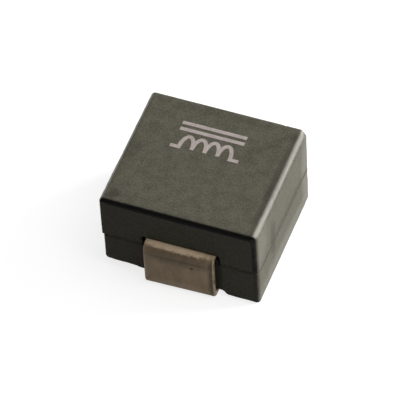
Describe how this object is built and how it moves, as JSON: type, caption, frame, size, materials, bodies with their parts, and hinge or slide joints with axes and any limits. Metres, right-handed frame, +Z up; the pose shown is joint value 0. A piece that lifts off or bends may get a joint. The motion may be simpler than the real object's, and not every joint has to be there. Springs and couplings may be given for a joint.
{
  "type": "shielded smd inductor",
  "caption": "Ferrite power inductor in two bonded halves, with one flat copper strip through it, folded under both ends as solder pads.",
  "frame": {"origin": "centre of the part's footprint on the board, at the level of the solder pads", "axes": "+Z up from the board, +Y along the copper strip, +X across it, towards the side where both ferrite halves are flush"},
  "size_m": [0.013, 0.013, 0.008],
  "materials": {
    "lower_core": "ground sintered ferrite, matt",
    "upper_core": "ground sintered ferrite, matt",
    "conductor": "dull tin plate over copper",
    "bond": "cured epoxy"
  },
  "bodies": {
    "root": {"lower_core": "lower_core", "upper_core": "upper_core", "conductor": "conductor", "left_bond": "bond", "right_bond": "bond"}
  },
  "joints": []
}
